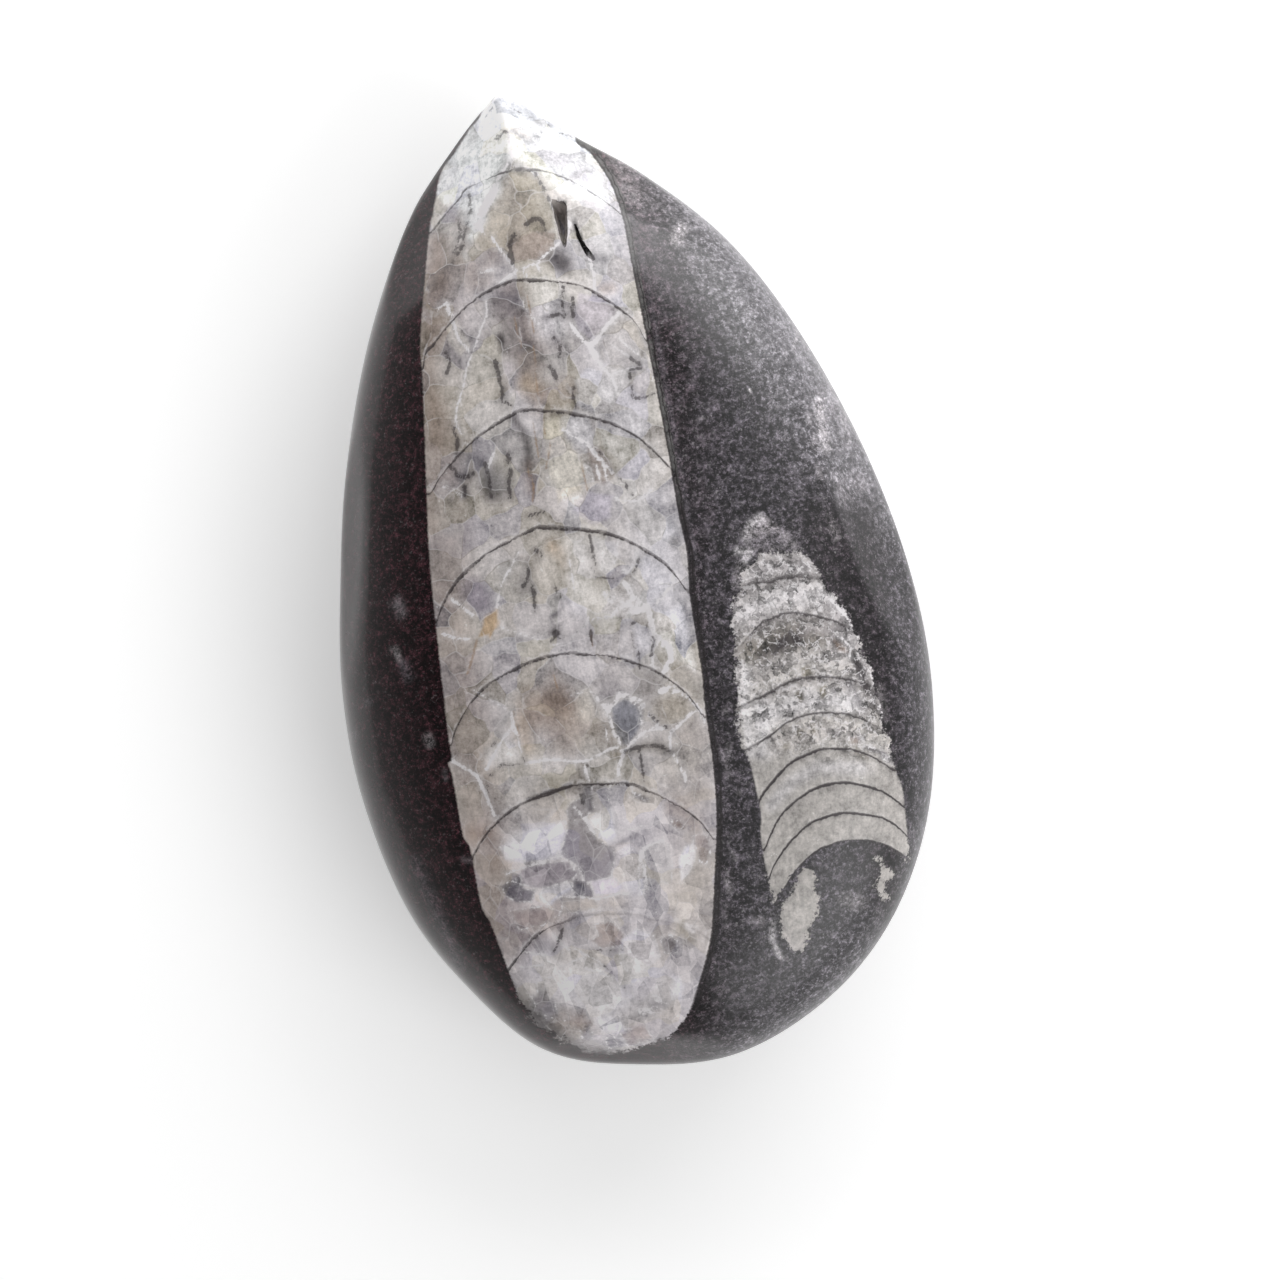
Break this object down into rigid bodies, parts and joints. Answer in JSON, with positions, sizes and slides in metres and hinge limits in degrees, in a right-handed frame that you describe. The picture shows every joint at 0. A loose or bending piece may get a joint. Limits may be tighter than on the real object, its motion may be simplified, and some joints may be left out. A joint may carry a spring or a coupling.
{
  "type": "orthoceras fossil",
  "caption": "Hand-sized teardrop pebble of polished black limestone, ground through two straight chambered fossil shells, lying on its back.",
  "frame": {"origin": "middle of the object's base, on the ground flat of the back that it rests on", "axes": "+Y runs along the stone to its pointed tip, +Z leaves the polished face that shows the fossils, +X is to the right seen from above with the tip away"},
  "size_m": [0.0628, 0.106, 0.027],
  "materials": {
    "polished_limestone": "polished to a soft gloss: near-black limestone with grey-white calcite fossils level with its surface"
  },
  "bodies": {
    "root": {"orthoceras_fossil": "polished_limestone"}
  },
  "joints": []
}
